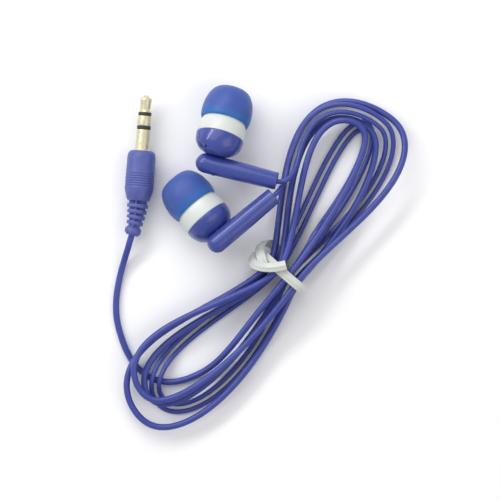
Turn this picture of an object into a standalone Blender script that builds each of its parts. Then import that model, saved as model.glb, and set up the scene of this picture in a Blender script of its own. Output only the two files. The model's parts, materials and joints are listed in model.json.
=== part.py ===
"""Wired in-ear earphones with their cord wound into a tied hank.

Metres, +Z up. The object lies on a flat surface at z = 0. The origin is under the
middle of the two earbuds. X runs from the plug towards the hank, and Y runs from the
hank's lower lobe towards the jack's tip. Sizes below are in millimetres, times MM.
"""
import math

import bmesh
import bpy
import numpy as np
from mathutils import Matrix, Vector

MM = 0.001

# ---- driving dimensions, in millimetres --------------------------------------------

GAP = 0.3                      # clearance kept where two separate pieces meet
ROUND = 24                     # sides of a turned piece
INNER_ROUND = 16               # sides of a driver's or a jack's small pieces
SMALL_ROUND = 12               # sides of the smallest pieces

# Earbud, along its own axis: 0 at the rim of the ear tip, + towards the ear.
BUD_BAND_REAR = -4.3
STEM_AXIS = -11.2              # the stem crosses behind the housing here
STEM_ASIDE = 2.0               # and this far to the side away from the longer lip
STEM_BACK = -1.95              # centre of the stem's round end, along the stem
STEM_FRONT = 16.7              # flat end where the lead comes out
STEM_RADIUS = 2.5
STEM_END_RADIUS = 2.2
STEM_BORE = 1.75
LEAD_RADIUS = 0.6
NOZZLE_END = 5.0
SLANT_START = -5.0             # the rear shell's end slopes from here
SLANT = 0.054

# Where each earbud lies: rim centre, then headings and the tilt of the ear side.
LEFT_RIM = (-6.43, -9.1, 6.92)
LEFT_HEADING = 130.1
LEFT_TILT = 10.0
LEFT_STEM_HEADING = 39.9
RIGHT_RIM = (0.77, 12.1, 7.34)
RIGHT_HEADING = 74.8
RIGHT_TILT = 17.0
RIGHT_STEM_HEADING = -14.3

# Plug, along its own axis: 0 at the shoulder, + towards the jack's tip.
PLUG_SHOULDER = (-20.1, 4.95, 3.7)
PLUG_HEADING = 85.5
JACK_RADIUS = 1.75
JACK_LENGTH = 14.0
GRIP_LENGTH = 12.7
RELIEF_END = -21.7
RELIEF_BEND = 12.0             # degrees that the strain relief bends in all
RELIEF_PITCH = 1.46
RELIEF_RINGS = (2.7, 2.5, 2.33, 2.14)
SLOT_DEPTH = 0.55
FIRST_SLOT = 0.87
RING_LENGTH = 1.0
GROOVE_PITCH = 0.61

# Cords.
CORD_RADIUS = 0.8
CORD_STEP = 4.0                # a point every 2.5 diameters on a free stretch
LEAD_STEP = 2.8
LEAD_FREE_LENGTH = 24.0        # from the hank to the stem
LOOP_STEP = 13.5               # with LOOP_TURN it gives a loop its 24 points
LOOP_TURN = 11.0               # extra points for each radian of turn
LEAST_GAP = 0.4

# Hank: its waist under the tie, its direction there, and the heights of its layers.
WAIST = (15.7, -26.2)
WAIST_HEADING = 50.0
LEAD_LAYER = 0.65
LOW_LAYER = 3.0
HIGH_LAYER = 5.35
WAIST_LIFT = 1.9               # the tie passes under the bundle here
WAIST_LIFT_LENGTH = 12.0
PAIR_OFFSET = 0.95             # each lead lies this far beside the pair's middle line

TIE_WIDTH = 2.4
TIE_EDGE = 0.5
TIE_THICKNESS = 0.95
TIE_WIRE_RADIUS = 0.14
TIE_BORE_RADIUS = 0.29


# ---- materials and objects ---------------------------------------------------------

def clear_scene():
    for item in list(bpy.data.objects):
        bpy.data.objects.remove(item, do_unlink=True)


def material(name, colour, roughness, metallic=0.0):
    result = bpy.data.materials.new(name)
    result.use_nodes = True
    shader = result.node_tree.nodes["Principled BSDF"]
    shader.inputs["Base Color"].default_value = (*colour, 1.0)
    shader.inputs["Roughness"].default_value = roughness
    shader.inputs["Metallic"].default_value = metallic
    return result


def make_materials():
    return {
        "tip": material("ear_tip_silicone", (0.035, 0.085, 0.42), 0.45),
        "housing_blue": material("housing_blue", (0.045, 0.07, 0.42), 0.3),
        "housing_white": material("housing_white", (0.76, 0.8, 0.76), 0.35),
        "cord": material("cord_pvc", (0.03, 0.05, 0.38), 0.4),
        "overmould": material("plug_overmould", (0.05, 0.07, 0.4), 0.45),
        "jack": material("jack_plating", (0.72, 0.68, 0.5), 0.25, 1.0),
        "insulator": material("jack_insulator", (0.02, 0.02, 0.025), 0.5),
        "inner_mould": material("inner_mould", (0.7, 0.7, 0.66), 0.5),
        "copper": material("copper_wire", (0.8, 0.4, 0.2), 0.35, 1.0),
        "steel": material("steel", (0.5, 0.5, 0.52), 0.3, 1.0),
        "magnet": material("magnet", (0.3, 0.3, 0.32), 0.35, 1.0),
        "frame": material("driver_frame_plastic", (0.03, 0.03, 0.03), 0.5),
        "film": material("diaphragm_film", (0.75, 0.68, 0.45), 0.25),
        "board": material("terminal_board", (0.03, 0.25, 0.08), 0.5),
        "tie": material("tie_sheath", (0.82, 0.82, 0.72), 0.4),
    }


def add_object(name, data, paint, parent=None):
    item = bpy.data.objects.new(name, data)
    bpy.context.scene.collection.objects.link(item)
    data.materials.append(paint)
    if parent is not None:
        item.parent = parent
    return item


def add_empty(name, frame):
    item = bpy.data.objects.new(name, None)
    bpy.context.scene.collection.objects.link(item)
    item.matrix_world = frame
    return item


def shade(mesh):
    mesh.shade_smooth()
    mesh.set_sharp_from_angle(angle=math.radians(35))


def turned(name, profile, paint, parent=None, sides=ROUND):
    """A solid of revolution about Z. profile is (radius, height) in millimetres."""
    shape = bmesh.new()
    corners = [shape.verts.new((r * MM, 0.0, z * MM)) for r, z in profile]
    edges = [shape.edges.new(pair) for pair in zip(corners[:-1], corners[1:])]
    if profile[0][0] > 0:
        edges.append(shape.edges.new((corners[-1], corners[0])))
    bmesh.ops.spin(shape, geom=corners + edges, cent=(0, 0, 0), axis=(0, 0, 1), dvec=(0, 0, 0),
                   angle=math.tau, steps=sides, use_merge=True, use_duplicate=False)
    bmesh.ops.remove_doubles(shape, verts=shape.verts, dist=1e-6)
    bmesh.ops.recalc_face_normals(shape, faces=shape.faces)
    mesh = bpy.data.meshes.new(name)
    shape.to_mesh(mesh)
    shape.free()
    shade(mesh)
    return add_object(name, mesh, paint, parent)


def lofted(name, rings, paint, parent=None, closed=False):
    """A solid through rings of points, all with the same count, in millimetres.

    closed joins the last ring to the first, as round a hollow section. Otherwise each
    end is closed with one face.
    """
    shape = bmesh.new()
    rows = [[shape.verts.new(Vector(point) * MM) for point in ring] for ring in rings]
    pairs = list(zip(rows[:-1], rows[1:]))
    if closed:
        pairs.append((rows[-1], rows[0]))
    for low, high in pairs:
        for i in range(len(low)):
            j = (i + 1) % len(low)
            shape.faces.new((low[i], low[j], high[j], high[i]))
    if not closed:
        shape.faces.new(rows[0])
        shape.faces.new(list(reversed(rows[-1])))
    bmesh.ops.recalc_face_normals(shape, faces=shape.faces)
    mesh = bpy.data.meshes.new(name)
    shape.to_mesh(mesh)
    shape.free()
    shade(mesh)
    return add_object(name, mesh, paint, parent)


def cutter(name, radius, start, end, parent, sides=16):
    """A round bar from start to end, in the parent's frame, that cuts a hole."""
    start = Vector(start)
    end = Vector(end)
    turn = (end - start).to_track_quat("Z", "Y")
    rings = []
    for centre in (start, end):
        ring = []
        for i in range(sides):
            angle = math.tau * i / sides
            ring.append(centre + turn @ Vector((radius * math.cos(angle), radius * math.sin(angle), 0)))
        rings.append(ring)
    item = lofted(name, rings, bpy.data.materials["steel"], parent)
    item.hide_render = True
    item.display_type = "WIRE"
    return item


def cut(item, tool):
    change = item.modifiers.new(tool.name, "BOOLEAN")
    change.operation = "DIFFERENCE"
    change.solver = "EXACT"
    change.object = tool


def tube(name, points, radius, paint, resolution, parent=None):
    """A round cord along a line of points, in millimetres, with flat ends."""
    data = bpy.data.curves.new(name, "CURVE")
    data.dimensions = "3D"
    data.bevel_depth = radius * MM
    data.bevel_resolution = resolution
    data.use_fill_caps = True
    line = data.splines.new("POLY")
    line.points.add(len(points) - 1)
    for node, point in zip(line.points, points):
        node.co = (*(Vector(point) * MM), 1.0)
    return add_object(name, data, paint, parent)


# ---- lines that the cords follow ----------------------------------------------------

def line_length(line):
    return float(np.linalg.norm(np.diff(line, axis=0), axis=1).sum())


def even(line, step):
    """The same line with points an even step apart."""
    along = np.r_[0.0, np.cumsum(np.linalg.norm(np.diff(line, axis=0), axis=1))]
    count = max(2, int(round(along[-1] / step)) + 1)
    at = np.linspace(0.0, along[-1], count)
    return np.stack([np.interp(at, along, line[:, k]) for k in range(3)], axis=1)


def smooth(line, step, reach):
    """Rounds a line's corners with a bell-shaped average along it."""
    line = even(line, step)
    half = int(round(3 * reach / step))
    weights = np.exp(-0.5 * (np.arange(-half, half + 1) * step / reach) ** 2)
    weights /= weights.sum()
    before = line[0] - np.outer(np.arange(half, 0, -1), line[1] - line[0])
    after = line[-1] + np.outer(np.arange(1, half + 1), line[-1] - line[-2])
    padded = np.vstack([before, line, after])
    return np.stack([np.convolve(padded[:, k], weights, "valid") for k in range(3)], axis=1)


def pinned(line, place, reach):
    """Moves a line's last point to place, and less and less of the line before it."""
    back = np.r_[0.0, np.cumsum(np.linalg.norm(np.diff(line[::-1], axis=0), axis=1))][::-1]
    return line + np.exp(-(back / reach) ** 2)[:, None] * (place - line[-1])


def fewer(line, step, turn):
    """Fewer points on a line, closer together where it bends."""
    span = np.diff(line, axis=0)
    length = np.linalg.norm(span, axis=1)
    heading = span / length[:, None]
    bend = np.r_[0.0, np.arccos(np.clip(np.sum(heading[:-1] * heading[1:], axis=1), -1, 1))]
    along = np.r_[0.0, np.cumsum(length + turn * bend)]
    at = np.linspace(0.0, along[-1], int(round(along[-1] / step)) + 1)
    return np.stack([np.interp(at, along, line[:, k]) for k in range(3)], axis=1)


def least_gap(line, diameter, leave_out):
    """The smallest clear distance between a tube and itself, away from its neighbours."""
    line = even(line, 0.5)
    best = float("inf")
    for i in range(len(line)):
        far = np.linalg.norm(line[i + leave_out:] - line[i], axis=1)
        if len(far):
            best = min(best, float(far.min()))
    return best - diameter


def parted(line, distance, gap):
    """The line in two, cut at a distance along it, with a gap between the pieces."""
    along = np.r_[0.0, np.cumsum(np.linalg.norm(np.diff(line, axis=0), axis=1))]

    def place(at):
        return np.array([np.interp(at, along, line[:, k]) for k in range(3)])

    before = line[along < distance - gap / 2 - 0.1]
    after = line[along > distance + gap / 2 + 0.1]
    first = np.vstack([before, place(distance - gap / 2)])
    return first, np.vstack([place(distance + gap / 2), after])


def squared(points, line, length):
    """Gives a tube's points a stretch of one diameter straight along the line at each end."""
    first = line[2] - line[0]
    last = line[-3] - line[-1]
    start = line[0] + first / np.linalg.norm(first) * length
    end = line[-1] + last / np.linalg.norm(last) * length
    return np.vstack([points[:1], start, points[1:-1], end, points[-1:]])


def hank_point(along, across, height):
    """A point in the hank: along its length from the waist, and to the left of it."""
    heading = math.radians(WAIST_HEADING)
    x = WAIST[0] + along * math.cos(heading) - across * math.sin(heading)
    y = WAIST[1] + along * math.sin(heading) + across * math.cos(heading)
    return [x, y, height]


def lobe(end, reach, lean, left, right, slots, heights, start_side, count=72):
    """One half loop of the hank, a teardrop that leaves the waist and comes back.

    end is +1 for the upper lobe and -1 for the lower. reach is its length, and lean
    shifts its far end to the left. left and right are (bulge, power) of its sides: a
    larger power keeps the bulge near the far end. slots are where it leaves and enters
    the waist, across the bundle. start_side +1 leaves along the left side.
    """
    turn = math.tau * (np.arange(count) + 0.5) / count
    out = (1 - np.cos(turn)) / 2
    side = np.where(turn < math.pi, start_side, -start_side)

    def bulge(size, power):
        shape = np.abs(np.sin(turn)) * np.sin(turn / 2) ** power
        return size * shape / shape.max()

    fade = np.where((side > 0) & (end > 0), 2.5, 1.2)
    slot = np.where(turn < math.pi, slots[0], slots[1]) * (1 - out) ** fade
    across = np.where(side > 0, bulge(*left), -bulge(*right)) + slot + lean * out
    along = end * reach * out
    height = np.interp(turn / math.tau, np.linspace(0, 1, len(heights)), heights)
    height = height + WAIST_LIFT * np.exp(-(along / WAIST_LIFT_LENGTH) ** 2)
    return np.array([hank_point(*place) for place in zip(along, across, height)])


def beside(line, offset):
    """The same lobe shifted sideways, outwards where offset is positive."""
    heading = np.gradient(line[:, :2], axis=0)
    outward = np.stack([-heading[:, 1], heading[:, 0]], axis=1)
    outward /= np.linalg.norm(outward, axis=1)[:, None]
    if np.sum(outward * (line[:, :2] - line[:, :2].mean(axis=0))) < 0:
        outward = -outward
    result = line.copy()
    result[:, :2] += offset * outward
    return result


# The main cord from the plug's strain relief down to the hank's lower lobe.
FREE_ROUTE = [
    (-24.2, -21.3, 1.9), (-25.8, -26.6, 0.85), (-26.9, -32.7, 0.85), (-26.8, -37.7, 0.85),
    (-25.7, -41.8, 0.85), (-24.3, -45.9, 0.85),
]
# It goes on under the lower lobe's far end and up its middle to the waist.
MIDDLE_ROUTE = [
    (-21.9, -49.9, 0.85), (-19.1, -52.4, 0.85), (-16.0, -53.7, 0.85), (-12.8, -54.1, 0.85),
    (-9.5, -53.4, 0.85), (-5.9, -51.9, 1.2), (-2.4, -49.9, 2.2), (0.7, -46.8, 3.4),
    (3.7, -43.3, 4.5), (7.7, -38.0, 5.4),
]
# The leads from the upper lobe's left side to the stems.
LEFT_LEAD_ROUTE = [
    (18.1, 5.6, 5.35), (17.2, 2.5, 5.3), (16.6, -0.5, 5.3), (16.1, -2.9, 6.0),
]
RIGHT_LEAD_ROUTE = [
    (19.9, 5.6, 5.35), (19.4, 2.5, 6.2), (18.6, 0.0, 7.8), (17.3, -2.4, 9.4),
]


def main_line(exit_point, exit_direction):
    """The main cord's whole line, from the plug to the split."""
    high = HIGH_LAYER
    low = LOW_LAYER
    parts = [
        np.array([exit_point, exit_point + exit_direction * 2.5]),
        np.array(FREE_ROUTE + MIDDLE_ROUTE),
        lobe(1, 41.5, 8.0, (9.6, 2.2), (3.2, 1), (-1.35, 1.35), (high, high), -1),
        lobe(-1, 46.5, 6.0, (10.5, 2.2), (5.6, 1), (1.35, -4.05), (high, high), 1),
        lobe(1, 47.8, 2.8, (18.4, 1.4), (7.6, 2), (-4.05, 4.05),
             (high, high, high, low, 1.1, 0.95, low), -1),
        lobe(-1, 51.6, 2.7, (12.3, 2.2), (9.0, 1), (4.05, -4.05), (low, low), 1),
        lobe(1, 42.4, 6.4, (12.7, 1.5), (5.4, 1), (-4.05, 1.35), (low, low), -1),
        lobe(-1, 46.4, 4.5, (8.0, 2.2), (6.2, 1), (1.35, -1.35), (low, low), 1),
        np.array([hank_point(2.0, -1.35, low + WAIST_LIFT), hank_point(4.0, -1.3, low + 1.1)]),
    ]
    line = smooth(np.vstack(parts), 0.5, 2.2)
    return pinned(line[::-1], exit_point, 4.0)[::-1]


def lead_line(offset, route, exit_point, exit_direction):
    """One lead's line, from the split round the hank to its stem."""
    floor = LEAD_LAYER
    top = HIGH_LAYER
    start = np.array([
        hank_point(13.5, -0.4 - offset, LOW_LAYER), hank_point(17.0, -0.1 - 1.1 * offset, 2.1),
    ])
    first = lobe(1, 42.5, 8.0, (3.6, 2), (4.0, 1), (0.0, 2.4), (floor, floor), -1)
    second = lobe(-1, 45.2, 2.2, (6.8, 2.2), (7.6, 1), (2.4, -2.4),
                  (floor,) * 14 + (1.6, 3.1, 3.4, 2.8, 1.1) + (floor,) * 22, 1)
    third = lobe(1, 45.1, 4.6, (16.1, 1.4), (6.2, 1.5), (-2.4, 4.05),
                 (floor, floor, floor, floor, 2.4, top, top, top, top, top), -1)
    joined = 14                # the first points of the first lobe come before the split
    leaves = 49                # where the third lobe's points give way to the stem's route
    ends = np.array([exit_point + exit_direction * 1.2, exit_point])
    line = smooth(np.vstack([
        start, beside(first, offset)[joined:], beside(second, offset),
        beside(third, offset)[:leaves], np.array(route), ends,
    ]), 0.5, 1.6)
    return pinned(line, exit_point, 3.0)


# ---- earbuds ------------------------------------------------------------------------

def bud_frame(rim, heading, tilt, stem_heading):
    """An earbud's frame: Z towards the ear, X along the stem to the lead."""
    turn = math.radians(heading)
    dip = math.radians(tilt)
    axis = Vector((math.cos(turn) * math.cos(dip), math.sin(turn) * math.cos(dip), -math.sin(dip)))
    turn = math.radians(stem_heading)
    level = Vector((math.cos(turn), math.sin(turn), 0.0))
    stem = (level - Vector((0, 0, 1)) * (level.dot(axis) / axis.z)).normalized()
    side = axis.cross(stem)
    frame = Matrix((stem, side, axis)).transposed().to_4x4()
    frame.translation = Vector(rim) * MM
    return frame


def ear_tip(prefix, paint, bud):
    """Silicone ear tip: a flat-fronted dome over a tubular core. It pulls off along Z."""
    core = 2.8
    profile = [
        (5.35, 0.0), (5.98, 0.0), (6.22, 0.5), (6.38, 1.6), (6.35, 3.2), (6.05, 5.1),
        (5.4, 6.8), (4.5, 8.05), (3.5, 8.72), (1.9, 8.8), (1.9, NOZZLE_END + GAP),
        (core, NOZZLE_END + GAP), (core, 2.0), (3.4, 2.0), (3.4, 7.2), (4.5, 6.7), (5.3, 5.2),
        (5.65, 3.6), (5.65, 1.7),
    ]
    return turned(prefix + "ear_tip", profile, paint["tip"], bud)


def front_housing(prefix, paint, bud):
    """White front shell: barrel-shaped band, shoulder under the ear tip, and nozzle."""
    profile = [
        (6.12, BUD_BAND_REAR), (6.1, -3.3), (5.95, -2.0), (5.7, -1.0), (5.4, -0.35), (4.95, 0.0),
        (4.0, 1.0), (2.6, 1.65), (2.3, 1.9), (2.3, 4.2), (2.5, 4.35), (2.5, 4.8), (2.3, NOZZLE_END),
        (1.65, NOZZLE_END), (1.65, 1.4), (2.4, 0.9), (4.2, -0.1), (5.1, -0.7), (5.1, BUD_BAND_REAR),
    ]
    turned(prefix + "front_housing", profile, paint["housing_white"], bud)
    mesh_disc = [(0.0, 4.5), (1.3, 4.5), (1.3, 4.75), (0.0, 4.75)]
    turned(prefix + "nozzle_mesh", mesh_disc, paint["steel"], bud, SMALL_ROUND)


def driver(prefix, paint, bud):
    """Moving-coil driver, from the ear side: film and coil, pole plate, magnet, cup."""
    frame = [(4.3, -0.95), (4.8, -0.95), (4.8, -4.3), (3.75, -4.3), (3.75, -3.9), (4.3, -3.9)]
    turned(prefix + "driver_frame", frame, paint["frame"], bud, INNER_ROUND)
    film = [(0.0, -0.85), (1.2, -1.0), (2.2, -1.35), (3.1, -1.0), (4.0, -1.3),
            (4.0, -1.5), (3.1, -1.2), (2.2, -1.55), (1.2, -1.2), (0.0, -1.05)]
    turned(prefix + "diaphragm", film, paint["film"], bud, INNER_ROUND)
    coil = [(2.0, -1.8), (2.4, -1.8), (2.4, -2.9), (2.0, -2.9)]
    turned(prefix + "voice_coil", coil, paint["copper"], bud, INNER_ROUND)
    plate = [(0.0, -1.95), (1.65, -1.95), (1.65, -2.35), (0.0, -2.35)]
    turned(prefix + "pole_plate", plate, paint["steel"], bud, SMALL_ROUND)
    magnet = [(0.0, -2.6), (1.5, -2.6), (1.5, -3.75), (0.0, -3.75)]
    turned(prefix + "magnet", magnet, paint["magnet"], bud, SMALL_ROUND)
    cup = [(0.0, -4.05), (2.75, -4.05), (2.75, -2.0), (3.4, -2.0), (3.4, -4.65), (0.0, -4.65)]
    turned(prefix + "magnet_cup", cup, paint["steel"], bud, INNER_ROUND)
    board = [(0.0, -4.95), (2.5, -4.95), (2.5, -5.35), (0.0, -5.35)]
    turned(prefix + "terminal_board", board, paint["board"], bud, SMALL_ROUND)


def slant(item, side):
    """Slopes a rear shell's end, so that one side of it reaches further over the stem."""
    for vertex in item.data.vertices:
        depth = max(0.0, SLANT_START - vertex.co.z / MM)
        vertex.co.z -= SLANT * depth * vertex.co.y * side


def rear_housing(prefix, side, paint, bud):
    """Blue rear shell. The stem lies in a saddle in its end, and a small vent is cut.

    The two earbuds are mirror images: side is where the vent and the longer lip are.
    """
    joint = BUD_BAND_REAR - GAP
    profile = [
        (0.0, -8.6), (2.0, -8.5), (3.0, -8.2), (3.9, -7.7), (4.5, -7.1), (5.0, -6.4),
        (5.25, -5.7), (5.35, joint), (6.05, joint), (5.95, -5.8), (5.6, -6.8), (5.05, -7.6),
        (4.4, -8.3), (3.4, -8.9), (2.2, -9.2), (0.0, -9.3),
    ]
    item = turned(prefix + "rear_housing", profile, paint["housing_blue"], bud)
    aside = -STEM_ASIDE * side
    saddle = cutter(prefix + "saddle_cutter", STEM_RADIUS + GAP, (-9, aside, STEM_AXIS),
                    (9, aside, STEM_AXIS), bud, ROUND)
    vent = cutter(prefix + "vent_cutter", 0.35, (-1.5, 2.2 * side, -7.3),
                  (-3.2, 4.8 * side, -9.5), bud, 8)
    passage = cutter(prefix + "passage_cutter", 0.85, (0, aside, -7.5), (0, aside, -9.5), bud,
                     SMALL_ROUND)
    slant(item, side)
    cut(item, passage)
    cut(item, saddle)
    cut(item, vent)


def stem(prefix, side, paint, bud):
    """Blue stem: a tube with one round closed end, and the lead's hole in the other."""
    holder = add_empty(prefix + "stem_axis", Matrix.Identity(4))
    holder.parent = bud
    aside = -STEM_ASIDE * side
    holder.matrix_local = (Matrix.Translation((0, aside * MM, STEM_AXIS * MM))
                           @ Matrix.Rotation(math.radians(90), 4, "Y"))
    outer = []
    for step in range(5):
        angle = math.radians(90 * step / 4)
        outer.append((STEM_RADIUS * math.sin(angle), STEM_BACK - STEM_RADIUS * math.cos(angle)))
    profile = outer + [
        (2.42, 8.0), (STEM_END_RADIUS, STEM_FRONT - 0.2), (STEM_END_RADIUS - 0.2, STEM_FRONT),
        (0.95, STEM_FRONT), (0.95, STEM_FRONT - 1.0), (1.45, STEM_FRONT - 1.2),
        (STEM_BORE, 6.0), (STEM_BORE, STEM_BACK), (0.9, STEM_BACK - 1.4), (0.0, STEM_BACK - 1.7),
    ]
    item = turned(prefix + "stem", profile, paint["housing_blue"], holder)
    window = cutter(prefix + "window_cutter", 1.15, (0, aside, STEM_AXIS),
                    (0, aside, STEM_AXIS + 4), bud)
    cut(item, window)
    knot = [(0.85, 4.0), (1.2, 4.0), (1.42, 4.6), (1.42, 6.2), (1.2, 6.8), (0.85, 6.8)]
    turned(prefix + "lead_knot", knot, paint["cord"], holder, SMALL_ROUND)


def inner_lead(prefix, side, paint, bud):
    """The lead inside the earbud: from the board, through the window, along the stem."""
    aside = -STEM_ASIDE * side
    route = np.array([
        (0.0, 0.7 * aside, -5.8), (0.0, 0.9 * aside, -7.0), (0.0, aside, -8.2), (0.0, aside, -9.6),
        (0.6, aside, -10.9), (2.2, aside, STEM_AXIS), (5.0, aside, STEM_AXIS),
        (10.0, aside, STEM_AXIS), (STEM_FRONT - 0.3, aside, STEM_AXIS),
    ])
    line = fewer(smooth(route, 0.2, 0.5), 3.0, 3.0)
    tube(prefix + "inner_lead", line, 0.5, paint["cord"], 1, bud)


def earbud(prefix, side, rim, heading, tilt, stem_heading, paint):
    """Builds one earbud, and gives where its lead comes out and in which direction."""
    bud = add_empty(prefix + "bud", bud_frame(rim, heading, tilt, stem_heading))
    ear_tip(prefix, paint, bud)
    front_housing(prefix, paint, bud)
    driver(prefix, paint, bud)
    rear_housing(prefix, side, paint, bud)
    stem(prefix, side, paint, bud)
    inner_lead(prefix, side, paint, bud)
    frame = bud_frame(rim, heading, tilt, stem_heading)
    end = Vector((STEM_FRONT + GAP, -STEM_ASIDE * side, STEM_AXIS))
    exit_point = frame @ (end * MM) / MM
    return np.array(exit_point), np.array(frame.col[0][:3])


# ---- plug ---------------------------------------------------------------------------

def plug_frame():
    """The plug's frame: Z towards the jack's tip, lying level."""
    turn = math.radians(PLUG_HEADING)
    axis = Vector((math.cos(turn), math.sin(turn), 0.0))
    side = Vector((0, 0, 1)).cross(axis)
    frame = Matrix((side, axis.cross(side), axis)).transposed().to_4x4()
    frame.translation = Vector(PLUG_SHOULDER) * MM
    return frame


def jack(paint, plug):
    """Three-pole jack: tip with its rod, ring with its tube, sleeve, and two insulators."""
    tip = [
        (0.0, JACK_LENGTH), (0.5, JACK_LENGTH), (1.3, 13.2), (1.46, 12.9), (1.44, 12.5),
        (1.24, 10.2), (1.54, 9.7), (0.45, 9.7), (0.45, -4.0), (0.0, -4.0),
    ]
    turned("jack_tip", tip, paint["jack"], plug, INNER_ROUND)
    tip_insulator = [(0.7, 8.95), (1.65, 8.95), (1.65, 9.55), (0.7, 9.55)]
    turned("tip_insulator", tip_insulator, paint["insulator"], plug, INNER_ROUND)
    ring = [(0.7, 8.8), (1.72, 8.8), (1.72, 6.3), (1.0, 6.3), (1.0, -2.6), (0.7, -2.6)]
    turned("jack_ring", ring, paint["jack"], plug, INNER_ROUND)
    ring_insulator = [(1.25, 5.4), (1.7, 5.4), (1.7, 6.1), (1.25, 6.1)]
    turned("ring_insulator", ring_insulator, paint["insulator"], plug, INNER_ROUND)
    sleeve = [
        (1.25, 5.2), (JACK_RADIUS, 5.2), (JACK_RADIUS, -1.0), (2.45, -1.0), (2.45, -1.8),
        (1.25, -1.8),
    ]
    turned("jack_sleeve", sleeve, paint["jack"], plug, INNER_ROUND)
    inner = [(1.3, -2.1), (2.45, -2.1), (2.45, -7.6), (1.3, -7.6)]
    turned("plug_inner_mould", inner, paint["inner_mould"], plug, INNER_ROUND)


def relief_axis(height):
    """Centre and bend of the strain relief at a height below the shoulder."""
    length = max(0.0, -GRIP_LENGTH - height)
    whole = -GRIP_LENGTH - RELIEF_END
    bend = math.radians(RELIEF_BEND) * length / whole
    shift = length * math.sin(bend / 2)
    drop = length * math.cos(bend / 2)
    return Vector((shift, 0, max(height, -GRIP_LENGTH) - drop)), bend


def overmould_profile():
    """Radius and height down the grip and the ribbed strain relief."""
    outline = [(2.6, 0.0), (3.1, -0.35), (3.45, -0.85), (3.6, -1.6), (3.62, -3.5)]
    for k in range(6):
        middle = -5.95 - k * GROOVE_PITCH
        outline += [(3.66, middle + 0.16), (3.52, middle), (3.66, middle - 0.16)]
    outline += [(3.5, -10.2), (3.2, -11.5), (2.8, -GRIP_LENGTH), (2.3, -GRIP_LENGTH - 0.04)]
    for k, radius in enumerate(RELIEF_RINGS):
        top = -GRIP_LENGTH - FIRST_SLOT - k * RELIEF_PITCH
        core = radius - SLOT_DEPTH
        outline += [(core, top), (radius - 0.15, top), (radius, top - 0.3),
                    (radius, top - RING_LENGTH + 0.3), (radius - 0.15, top - RING_LENGTH),
                    (core - 0.08, top - RING_LENGTH)]
    collar = -GRIP_LENGTH - FIRST_SLOT - len(RELIEF_RINGS) * RELIEF_PITCH
    outline += [(1.42, collar), (1.6, collar), (2.06, collar - 0.6), (2.06, RELIEF_END + 0.6),
                (1.45, RELIEF_END)]
    bore = [(0.95, height) for height in (RELIEF_END, -19.5, -17.2, -15.0, -GRIP_LENGTH, -8.8)]
    bore += [(2.75, -8.2), (2.75, -0.75), (2.05, -0.75), (2.05, 0.0)]
    return outline + bore


def overmould(paint, plug):
    """Grip and strain relief, moulded in one piece round the jack and the cord."""
    rings = []
    for radius, height in overmould_profile():
        centre, bend = relief_axis(height)
        ring = []
        for i in range(ROUND):
            angle = math.tau * i / ROUND
            flat = Vector((radius * math.cos(angle), radius * math.sin(angle), 0))
            ring.append(centre + Matrix.Rotation(-bend, 3, "Y") @ flat)
        rings.append(ring)
    lofted("plug_overmould", rings, paint["overmould"], plug, closed=True)


def conductors(paint, plug):
    """Two insulated conductors from the cord's end to the jack's solder tags."""
    for name, side in (("tip_conductor", 1), ("ring_conductor", -1)):
        points = []
        for height in (RELIEF_END + 0.3, -19.5, -17.2, -15.0, -GRIP_LENGTH, -8.5):
            centre, bend = relief_axis(height)
            points.append(centre + Matrix.Rotation(-bend, 3, "Y") @ Vector((0, 0.42 * side, 0)))
        tube(name, points, 0.26, paint["copper"], 1, plug)


def build_plug(paint):
    """Builds the plug, and gives where its cord comes out and in which direction."""
    plug = add_empty("plug", plug_frame())
    jack(paint, plug)
    overmould(paint, plug)
    conductors(paint, plug)
    centre, bend = relief_axis(RELIEF_END)
    direction = Matrix.Rotation(-bend, 3, "Y") @ Vector((0, 0, -1))
    exit_point = plug_frame() @ ((centre + direction * GAP) * MM) / MM
    return np.array(exit_point), np.array(plug_frame().to_3x3() @ direction)


# ---- cords --------------------------------------------------------------------------

def build_main_cord(end, paint):
    """The free stretch and the hank's loops, cut apart where the hank begins."""
    line = main_line(*end)
    free_length = line_length(np.vstack([end[0][None], FREE_ROUTE]))
    free, loops = parted(line, free_length, GAP)
    stretch = squared(even(free, CORD_STEP), free, 2 * CORD_RADIUS)
    tube("main_cord_free", stretch, CORD_RADIUS, paint["cord"], 2)
    coarse = squared(fewer(loops, LOOP_STEP, LOOP_TURN), loops, 2 * CORD_RADIUS)
    gap = least_gap(coarse, 2 * CORD_RADIUS, 12)
    print("main cord", round(line_length(line), 1), "mm, least gap", round(gap, 2), "mm")
    if gap < LEAST_GAP:
        raise ValueError("the main cord's loops lie too close")
    tube("main_cord_hank", coarse, CORD_RADIUS, paint["cord"], 1)
    return line[-1]


def build_lead(prefix, offset, route, end, paint):
    """One lead: its loops in the hank, then its free stretch to the stem."""
    line = lead_line(offset, route, *end)
    loops, free = parted(line, line_length(line) - LEAD_FREE_LENGTH, GAP)
    stretch = squared(even(free, LEAD_STEP), free, 2 * LEAD_RADIUS)
    tube(prefix + "lead_free", stretch, LEAD_RADIUS, paint["cord"], 2)
    coarse = squared(fewer(loops, LOOP_STEP * 0.9, LOOP_TURN), loops, 2 * LEAD_RADIUS)
    gap = least_gap(coarse, 2 * LEAD_RADIUS, 12)
    print(prefix, "lead", round(line_length(line), 1), "mm, least gap", round(gap, 2), "mm")
    if gap < LEAST_GAP:
        raise ValueError("a lead's loops lie too close")
    tube(prefix + "lead_hank", coarse, LEAD_RADIUS, paint["cord"], 1)
    return line[0]


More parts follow.
